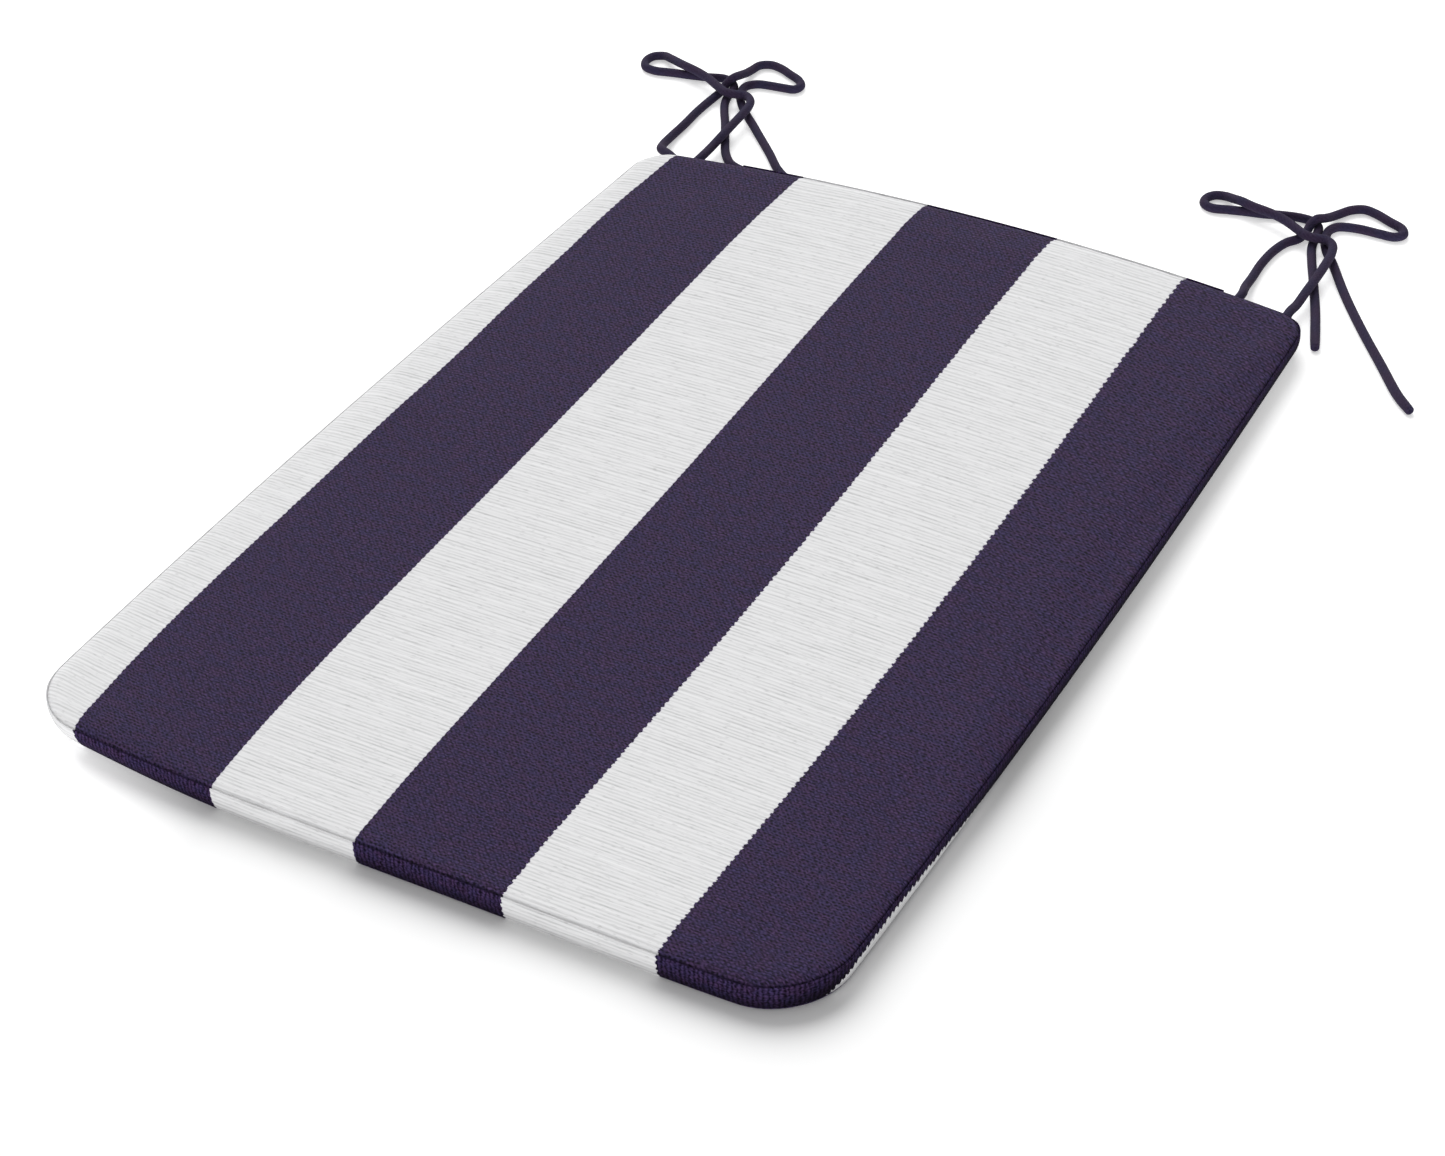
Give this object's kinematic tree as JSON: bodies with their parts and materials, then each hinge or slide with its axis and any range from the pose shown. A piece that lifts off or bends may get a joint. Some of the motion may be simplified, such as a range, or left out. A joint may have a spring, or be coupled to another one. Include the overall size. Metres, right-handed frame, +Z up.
{
  "type": "tied chair pad",
  "caption": "Thin boxed seat pad in broad dark and pale stripes, with round fabric tie cords knotted in bows behind its back corners",
  "frame": {"origin": "on the surface the pad lies on, under the middle of the sewn pad; the free tie cords are left out of that middle", "axes": "+Z up out of the top panel, +Y from the front edge to the back edge with the ties, +X to the right when seen from the front"},
  "size_m": [0.5248, 0.6832, 0.0178],
  "materials": {
    "pad": "heavy twill in broad woven stripes, dark purple blue and off white, matte",
    "boxing": "the same striped twill as the top, matte",
    "back_placket": "the same striped twill as the top, matte",
    "tie_right_a": "round tube of fine dark woven cloth, matte",
    "tie_right_b": "round tube of fine dark woven cloth, matte",
    "tie_left_a": "round tube of fine dark woven cloth, matte",
    "tie_left_b": "round tube of fine dark woven cloth, matte"
  },
  "bodies": {
    "root": {"pad": "pad", "boxing": "boxing", "back_placket": "back_placket", "tie_right_a": "tie_right_a", "tie_right_b": "tie_right_b", "tie_left_a": "tie_left_a", "tie_left_b": "tie_left_b"}
  },
  "joints": []
}
